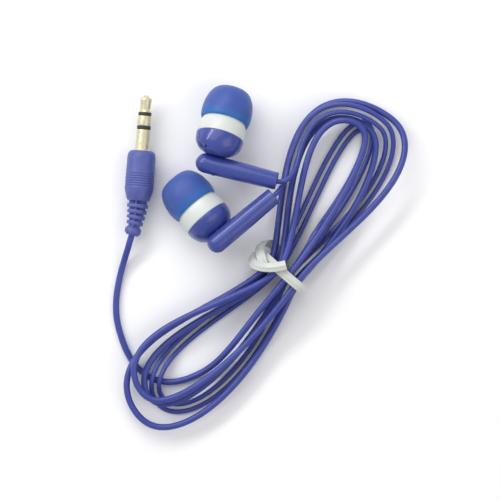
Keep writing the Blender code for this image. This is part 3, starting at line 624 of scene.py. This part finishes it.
def build_split():
    """A small flat moulding that holds the main cord and, side by side, the two leads."""
    start = Vector(main_route[0])
    ends = (Vector(left_route[0]), Vector(right_route[0]))
    end = (ends[0] + ends[1]) / 2
    axis = (end - start).normalized()
    across = (ends[1] - ends[0]).normalized()
    across = (across - axis * across.dot(axis)).normalized()
    up = axis.cross(across)
    sizes = curved([(-0.04, 0.84, 0.84), (0.02, 0.98, 0.98), (0.3, 1.05, 1.0), (0.6, 1.2, 0.92),
                    (0.85, 1.5, 0.84), (0.97, 1.6, 0.78), (1.03, 1.5, 0.66)], 5)
    rings = [oval(start.lerp(end, share), across * half_width, up * half_height, 40)
             for share, half_width, half_height in sizes]
    shape = bmesh.new()
    add_loft(shape, rings)
    return mesh_piece("split_moulding", shape, "overmould_blue", Matrix.Identity(4),
                      ("y_split",))


split = build_split()


# ---- earbuds ------------------------------------------------------------------------

BUD_SIDES = 128
SCREEN_WIRES = 9
SCREEN_RADIUS = 1.2
SCREEN_HEIGHT = 4.64
SCREEN_WIRE_RADIUS = 0.035
VENT_RADIUS = 0.33
STEM_MIDDLE_RADIUS = 2.43
STEM_END_RADIUS = 2.22
STEM_BORE_RADIUS = 1.75
MARK_RADII = (0.72, 0.9)
MARK_SEAT = 2.48


def build_ear_tip(prefix, matrix, body):
    """Soft dome with a thin rim, a flat front with its sound opening, and its core."""
    outside = curved([(6.0, 0.0), (6.16, 0.3), (6.3, 0.9), (6.4, 1.9), (6.37, 3.1), (6.24, 4.2),
                      (5.98, 5.4), (5.46, 6.72), (4.7, 7.85), (3.85, 8.5), (3.0, 8.74),
                      (2.25, 8.77)], 5)
    inside = curved([(3.4, 6.9), (4.3, 6.7), (5.1, 5.6), (5.55, 4.2), (5.66, 3.0), (5.66, 1.7),
                     (5.62, 0.1)], 5)
    core = rounded([(2.25, 8.77), (1.9, 8.6), (1.9, 5.3), (2.8, 5.3), (2.8, 2.0), (3.4, 2.0),
                    (3.4, 6.9)], 0.15)
    rim = [(5.64, -0.06), (5.72, -0.12), (5.86, -0.12), (5.96, -0.08)]
    profile = outside + core[1:-1] + inside + rim
    turned(prefix + "silicone_tip", profile, "silicone_blue", matrix, (prefix + "ear_tip",),
           BUD_SIDES, body)


def build_front(prefix, matrix):
    """White barrel with the nozzle that the ear tip grips. Its front runs in under the tip."""
    band = curved([(6.1, BUD_BAND_REAR + 0.06), (6.14, -3.5), (6.06, -2.4), (5.88, -1.4),
                   (5.66, -0.6), (5.5, 0.05), (5.2, 0.45)], 5)
    nose = rounded([(5.2, 0.45), (4.4, 0.9), (2.6, 1.65), (2.3, 1.95), (2.3, 4.1), (2.5, 4.35),
                    (2.5, 4.75), (2.25, 5.0), (1.65, 5.0), (1.65, 1.4), (2.4, 0.9), (4.2, -0.1),
                    (5.1, -0.7), (5.1, BUD_BAND_REAR), (6.02, BUD_BAND_REAR)], 0.12)
    turned(prefix + "white_barrel", band + nose[1:], "plastic_white", matrix,
           (prefix + "front_housing",), BUD_SIDES)


def build_mesh_screen(prefix, matrix):
    """Woven steel screen in the nozzle: crossing wires in a thin ring.

    The wires run both ways, with their ends in the ring. Each dips and rises by its own
    radius from crossing to crossing.
    """
    shape = bmesh.new()
    frame_ring = [(1.18, 4.5), (1.34, 4.5), (1.34, 4.78), (1.18, 4.78), (1.18, 4.5)]
    add_turned(shape, rounded(frame_ring, 0.04), 48)
    thick = SCREEN_WIRE_RADIUS
    rise = Vector((0, 0, thick))
    for k in range(SCREEN_WIRES):
        at = ((k + 0.5) / SCREEN_WIRES * 2 - 1) * SCREEN_RADIUS
        half = math.sqrt((SCREEN_RADIUS + 0.02) ** 2 - at ** 2)
        for lie in (0, 1):
            side = Vector((0, thick, 0)) if lie else Vector((thick, 0, 0))
            rings = []
            for step in range(25):
                run = (step / 24 * 2 - 1) * half
                crossing = (run / SCREEN_RADIUS + 1) / 2 * SCREEN_WIRES
                height = SCREEN_HEIGHT + thick * math.cos(math.pi * (crossing + k + lie))
                centre = Vector((run, at, height)) if lie else Vector((at, run, height))
                rings.append(oval(centre, side, rise, 6))
            add_loft(shape, rings)
    mesh_piece(prefix + "woven_screen", shape, "steel", matrix, (prefix + "nozzle_mesh",))


def build_rear(prefix, side, matrix):
    """Blue dome that slopes further back on one side, where it has a small vent hole."""
    joint = BUD_BAND_REAR - 0.02
    outside = [(6.02, joint)] + curved([
        (6.09, joint - 0.1), (6.0, -5.6), (5.68, -6.7), (5.16, -7.55), (4.48, -8.25),
        (3.5, -8.87), (2.28, -9.22), (0.0, -9.34)], 6)
    inside = curved([
        (0.0, -8.6), (2.0, -8.5), (3.0, -8.2), (3.9, -7.7), (4.5, -7.1), (5.0, -6.4),
        (5.25, -5.7), (5.35, joint)], 4)
    shape = bmesh.new()
    add_turned(shape, outside + inside, BUD_SIDES)
    for vertex in shape.verts:
        depth = max(0.0, SLANT_START - vertex.co.z / MM)
        vertex.co.z -= SLANT * depth * vertex.co.y * side
    dome = mesh_piece(prefix + "blue_dome", shape, "plastic_blue", matrix,
                      (prefix + "rear_housing",))
    vent = bmesh.new()
    start = Vector((-1.5, 2.2 * side, -7.3))
    along = Vector((-3.2, 4.8 * side, -9.5)) - start
    turn = along.to_track_quat("Z", "Y").to_matrix().to_4x4()
    hole = [(0.0, 0.0), (VENT_RADIUS, 0.0), (VENT_RADIUS, along.length), (0.0, along.length)]
    add_turned(vent, hole, 24, matrix @ Matrix.Translation(start * MM) @ turn)
    bmesh.ops.recalc_face_normals(vent, faces=vent.faces)
    data = bpy.data.meshes.new(prefix + "vent")
    vent.to_mesh(data)
    vent.free()
    tool = bpy.data.objects.new(prefix + "vent", data)
    bpy.context.scene.collection.objects.link(tool)
    change = dome.modifiers.new("vent", "BOOLEAN")
    change.operation = "DIFFERENCE"
    change.solver = "EXACT"
    change.object = tool
    apply_modifiers(dome)
    bpy.data.objects.remove(tool)


def apply_modifiers(item):
    """Puts the result of a piece's modifiers in place of its mesh."""
    bpy.context.view_layer.update()
    graph = bpy.context.evaluated_depsgraph_get()
    result = bpy.data.meshes.new_from_object(item.evaluated_get(graph))
    item.modifiers.clear()
    item.data = result


def build_stem(prefix, side, mark, matrix):
    """Tapered tube with a round end, a slightly rounded cable end and a small raised ring.

    mark is where the ring is: along the stem, then its angle round it.
    """
    turn = (matrix @ Matrix.Translation((0, -STEM_ASIDE * side * MM, STEM_AXIS * MM))
            @ Matrix.Rotation(math.radians(90), 4, "Y"))
    ball = []
    for step in range(13):
        angle = math.radians(90 * step / 12)
        ball.append((STEM_RADIUS * math.sin(angle), STEM_BACK - STEM_RADIUS * math.cos(angle)))
    body = rounded([
        (STEM_RADIUS, STEM_BACK), (STEM_MIDDLE_RADIUS, 8.0), (STEM_END_RADIUS, STEM_FRONT - 0.05),
        (0.78, STEM_FRONT), (0.78, STEM_FRONT - 1.0), (1.45, STEM_FRONT - 1.3),
        (STEM_BORE_RADIUS, 6.0), (STEM_BORE_RADIUS, STEM_BACK), (0.9, STEM_BACK - 1.4),
        (0.0, STEM_BACK - 1.7)], 0.28, 5)
    shape = bmesh.new()
    add_turned(shape, ball + body[1:], 96)
    along, around = mark
    spot = (Matrix.Rotation(math.radians(around), 4, "Z")
            @ Matrix.Translation((MARK_SEAT * MM, 0.0, along * MM))
            @ Matrix.Rotation(math.radians(90), 4, "Y"))
    inner, outer = MARK_RADII
    ring = [(inner, -0.3), (inner, 0.05), (outer, 0.05), (outer, -0.3), (inner, -0.3)]
    add_turned(shape, rounded(ring, 0.05), 40, spot)
    mesh_piece(prefix + "glossy_stem", shape, "plastic_blue", turn, (prefix + "stem",))


for prefix, bud, side, mark in (
    ("left_", LEFT_BUD, 1, (1.4, -51.0)), ("right_", RIGHT_BUD, -1, (0.7, -15.0)),
):
    matrix = bud_frame(*bud)
    build_ear_tip(prefix, matrix, prefix + "tip")
    build_front(prefix, matrix)
    build_mesh_screen(prefix, matrix)
    build_rear(prefix, side, matrix)
    build_stem(prefix, side, mark, matrix)


# ---- plug ---------------------------------------------------------------------------

def build_jack():
    """Tip, ring and sleeve contacts, one inside the next, with insulators between them."""
    plug = plug_frame()
    tip = rounded([
        (0.0, 14.0), (0.46, 14.0), (0.56, 13.84), (1.42, 13.14), (1.48, 12.88), (1.43, 12.4),
        (1.24, 10.25), (1.56, 9.72), (0.45, 9.7), (0.45, -4.0), (0.0, -4.0)], 0.05)
    pieces = [turned("contact_tip", tip, "jack_plating", plug, ("jack_tip",), 64)]
    for name, replaced, inner, outer, low, high in (
        ("upper_insulator", "tip_insulator", 0.7, 1.66, 8.86, 9.64),
        ("lower_insulator", "ring_insulator", 1.25, 1.74, 5.36, 6.22),
    ):
        band = [(inner, low), (outer, low), (outer, high), (inner, high), (inner, low)]
        pieces.append(turned(name, rounded(band, 0.06), "insulator_black", plug, (replaced,), 64))
    ring = rounded([
        (0.7, 8.8), (1.69, 8.8), (1.72, 6.28), (1.0, 6.28), (1.0, -2.6), (0.7, -2.6),
        (0.7, 8.8)], 0.1)
    pieces.append(turned("contact_ring", ring, "jack_plating", plug, ("jack_ring",), 64))
    sleeve = rounded([
        (1.25, 5.3), (1.73, 5.3), (1.75, 0.3), (1.95, 0.1), (1.95, -1.0), (2.45, -1.0),
        (2.45, -1.8), (1.25, -1.8), (1.25, 5.3)], 0.08)
    pieces.append(turned("contact_sleeve", sleeve, "jack_plating", plug, ("jack_sleeve",), 64))
    return pieces


def bent_ring(height, half_width, half_height, sides=64, square=2.0, roll=0.0):
    """A ring round the plug's axis at a height, following the strain relief's bend.

    square is 2 for an oval and more for a rounded box.
    """
    spin = Matrix.Rotation(math.radians(roll), 3, "Z")
    centre, bend = relief_axis(height)
    turn = Matrix.Rotation(-bend, 3, "Y")
    ring = []
    for i in range(sides):
        angle = math.tau * i / sides
        c, s = math.cos(angle), math.sin(angle)
        x = half_width * math.copysign(abs(c) ** (2 / square), c)
        y = half_height * math.copysign(abs(s) ** (2 / square), s)
        ring.append(centre + turn @ spin @ Vector((x, y, 0)))
    return ring


def build_overmould():
    """Grip with fine grooves and a mould seam, then the strain relief.

    The relief is a core with rings round it, a web that joins them, and a collar.
    """
    shape = bmesh.new()
    outline = [(1.97, -0.7), (1.97, 0.0)] + rounded(
        [(1.97, 0.0), (2.5, -0.02), (3.1, -0.32), (3.45, -0.85), (3.6, -1.7), (3.62, -5.5)], 0.3, 5)
    for k in range(GROOVES):
        middle = FIRST_GROOVE - k * GROOVE_PITCH
        outline += [(3.67, middle + 0.2), (3.63, middle + 0.11), (3.55, middle),
                    (3.63, middle - 0.11), (3.67, middle - 0.2)]
    outline += curved([(3.66, -9.6), (3.5, -10.5), (3.24, -11.5), (3.0, -12.2), (2.86, -12.6)], 5)
    outline += [(2.72, -12.76), (1.2, -12.8)]
    add_loft(shape, [bent_ring(height, radius, radius) for radius, height in outline])
    first = -GRIP_LENGTH - FIRST_SLOT
    core = [(height, RELIEF_RINGS[0] - SLOT_DEPTH + CORE_TAPER * (height - first))
            for height in np.linspace(-12.6, -21.0, 18)]
    add_loft(shape, [bent_ring(height, width, CORE_DEPTH, 40, 2.6) for height, width in core])
    for k, radius in enumerate(RELIEF_RINGS):
        top = first - k * RELIEF_PITCH
        sizes = rounded([(0.9, top), (radius - 0.12, top), (radius, top - 0.3), (radius, top - 0.7),
                         (radius - 0.12, top - RING_LENGTH), (0.9, top - RING_LENGTH)], 0.32, 6)
        add_loft(shape, [bent_ring(height, size, size) for size, height in sizes])
    collar_top = first - len(RELIEF_RINGS) * RELIEF_PITCH
    web = [(height, WEB_HALF_HEIGHT - WEB_TAPER * (WEB_TOP - height))
           for height in np.linspace(WEB_TOP, collar_top - 0.3, 24)]
    add_loft(shape, [bent_ring(height, WEB_HALF_THICKNESS, size, 40, 6.0, WEB_ROLL)
                     for height, size in web])
    seam = [(height, 3.56) for height in np.linspace(-1.6, -9.6, 12)]
    seam += [(-10.5, 3.54), (-11.5, 3.28), (-12.2, 3.04), (-12.62, 2.88)]
    add_loft(shape, [bent_ring(height, SEAM_HALF_THICKNESS, size, 24, 4.0, WEB_ROLL)
                     for height, size in seam])
    collar = rounded([
        (1.0, collar_top), (1.58, collar_top), (2.08, collar_top - 0.65),
        (2.08, RELIEF_END + 0.68), (1.46, RELIEF_END + 0.02), (0.86, RELIEF_END)], 0.1, 4)
    add_loft(shape, [bent_ring(height, size, size) for size, height in collar])
    return mesh_piece("grip_and_relief", shape, "overmould_blue", plug_frame(),
                      ("plug_overmould",))


plug_pieces = build_jack() + [build_overmould()]
plug_pieces += [frame["nodes"][name]
                for name in ("plug_inner_mould", "tip_conductor", "ring_conductor")]


# ---- twist tie ----------------------------------------------------------------------

TIE_STEP = 0.25
TIE_ROUNDING = 0.6
TIE_HALF_WIDTH = 1.2
TIE_HALF_THICKNESS = 0.25
TIE_RIB = 0.32
TIE_RIB_WIDTH = 0.42
TIE_TWIST_LAG = 0.7

# Along the hank, across it, height, then the way the strip's flat side faces.
TIE_ROUTE = [
    ((2.05, 0.96, 10.4), (0, 0, 1)), ((0.8, 1.9, 10.4), (0, 0, 1)),
    ((-0.3, 2.8, 10.35), (0, 0, 1)), ((-1.6, 4.3, 10.0), (0, 0.1, 1)),
    ((-2.5, 5.8, 9.1), (0, 0.4, 1)), ((-3.0, 7.2, 7.7), (-0.2, 0.8, 1)),
    ((-2.6, 8.5, 6.2), (-0.2, 1, 0.7)), ((-1.4, 9.0, 5.1), (0.2, 1, 0.3)),
    ((-0.1, 8.3, 4.9), (0.1, 0.7, 0.6)), ((0.2, 6.9, 5.7), (0, 0.5, 1)),
    ((0.2, 5.4, 7.1), (0, 0.4, 1)), ((0.15, 3.6, 8.4), (0, 0.2, 1)),
    ((0.05, 1.0, 8.95), (0, 0, 1)), ((0.0, -1.6, 8.95), (0, 0, 1)),
    ((0.0, -4.2, 8.9), (0, -0.15, 1)), ((0.0, -6.0, 8.1), (0, -0.8, 0.7)),
    ((0.0, -6.6, 6.0), (0, -1, 0)), ((0.0, -6.6, 3.0), (0, -1, 0)),
    ((0.1, -5.4, 1.2), (0, -0.7, -1)), ((0.4, -3.0, 0.55), (0, 0, -1)),
    ((1.2, 0.0, 0.55), (0, 0, -1)), ((2.4, 2.8, 0.55), (0, 0, -1)),
    ((3.6, 4.8, 0.6), (0, 0, -1)), ((3.95, 6.5, 1.1), (0, 0.2, -1)),
    ((3.4, 8.1, 2.3), (0.4, 0.8, -0.4)), ((2.7, 8.9, 3.8), (0.6, 1, 0.3)),
    ((1.4, 9.0, 5.4), (0.5, 0.8, 0.8)), ((0.4, 8.3, 6.8), (0.2, 0.4, 1)),
    ((-0.3, 7.2, 7.8), (0, 0.2, 1)), ((-0.9, 6.3, 8.3), (0, 0.1, 1)),
    ((-1.5, 5.3, 8.6), (0, 0, 1)),
]


def build_tie():
    """A plastic strip with a raised rib over its wire, twisted round the hank's waist."""
    places = np.array([hank_point(*place) for place, _ in TIE_ROUTE])
    faces = np.array([hank_point(*face) for _, face in TIE_ROUTE]) - np.array(hank_point(0, 0, 0))
    along = np.r_[0.0, np.cumsum(np.linalg.norm(np.diff(places, axis=0), axis=1))]
    fine = smooth(places, TIE_STEP, TIE_ROUNDING)
    at = np.linspace(0.0, along[-1], len(fine))
    outline = []
    for k in range(21):
        x = TIE_HALF_WIDTH * math.sin(math.pi * (k / 20 - 0.5))
        edge = math.sqrt(max(0.0, 1 - (x / TIE_HALF_WIDTH) ** 6))
        rib = TIE_RIB * math.exp(-(x / TIE_RIB_WIDTH) ** 2)
        outline.append((x, TIE_HALF_THICKNESS * edge + rib))
    outline += [(-x, -y) for x, y in outline[1:-1]]
    rings = []
    before = None
    for i in range(len(fine)):
        face = Vector([np.interp(at[i], along, faces[:, k]) for k in range(3)])
        heading = Vector(fine[min(i + 1, len(fine) - 1)] - fine[max(i - 1, 0)]).normalized()
        face = (face - heading * face.dot(heading)).normalized()
        if before is not None:
            face = (before * TIE_TWIST_LAG + face * (1 - TIE_TWIST_LAG)).normalized()
            face = (face - heading * face.dot(heading)).normalized()
        before = face
        width = heading.cross(face)
        rings.append([Vector(fine[i]) + width * x + face * y for x, y in outline])
    shape = bmesh.new()
    add_loft(shape, rings)
    return mesh_piece("tie_strip", shape, "tie_plastic", Matrix.Identity(4),
                      ("tie_sheath", "tie_wire"))


tie = build_tie()


# ---- floor and light ----------------------------------------------------------------
# These are in metres, watts and degrees.

FLOOR_HALF_WIDTH = 1.5
LIT_POINT = Vector((0.007, -0.02, 0.0))
WORLD_STRENGTH = 0.55


def build_floor():
    """A pale, nearly white surface, a little uneven in tone."""
    shape = bmesh.new()
    bmesh.ops.create_grid(shape, x_segments=1, y_segments=1, size=FLOOR_HALF_WIDTH)
    data = bpy.data.meshes.new("floor")
    shape.to_mesh(data)
    shape.free()
    floor = bpy.data.objects.new("floor", data)
    bpy.context.scene.collection.objects.link(floor)
    paint = bpy.data.materials.new("pale_floor")
    paint.use_nodes = True
    tree = paint.node_tree
    shader = tree.nodes["Principled BSDF"]
    place = node(tree, "ShaderNodeTexCoord")
    soft = noise(tree, place, 30.0)
    tone = mix(tree, soft.outputs["Fac"], linear((246, 246, 248)), linear((250, 250, 251)))
    tree.links.new(tone, shader.inputs["Base Color"])
    shader.inputs["Roughness"].default_value = 0.6
    data.materials.append(paint)


def add_lamp(name, place, width, height, power, heading=0.0):
    """A soft box that faces the lit point. Its long side lies level along the heading."""
    data = bpy.data.lights.new(name, "AREA")
    data.shape = "RECTANGLE"
    data.size = width
    data.size_y = height
    data.energy = power
    lamp = bpy.data.objects.new(name, data)
    bpy.context.scene.collection.objects.link(lamp)
    back = (Vector(place) - LIT_POINT).normalized()
    level = Vector((math.cos(math.radians(heading)), math.sin(math.radians(heading)), 0.0))
    level = (level - back * level.dot(back)).normalized()
    turn = Matrix((level, back.cross(level), back)).transposed().to_4x4()
    lamp.matrix_world = Matrix.Translation(place) @ turn


build_floor()
add_lamp("key", (-0.24, 0.42, 0.62), 0.9, 0.7, 2.5, 30.0)
add_lamp("fill", (0.5, -0.2, 0.6), 0.6, 0.6, 1.2)
add_lamp("strip", (-0.30, 0.36, 0.36), 0.9, 0.09, 2.0, 40.0)

world = bpy.data.worlds.new("studio")
world.use_nodes = True
world.node_tree.nodes["Background"].inputs["Color"].default_value = (1.0, 1.0, 1.0, 1.0)
world.node_tree.nodes["Background"].inputs["Strength"].default_value = WORLD_STRENGTH
bpy.context.scene.world = world
bpy.context.scene.view_settings.view_transform = "Standard"
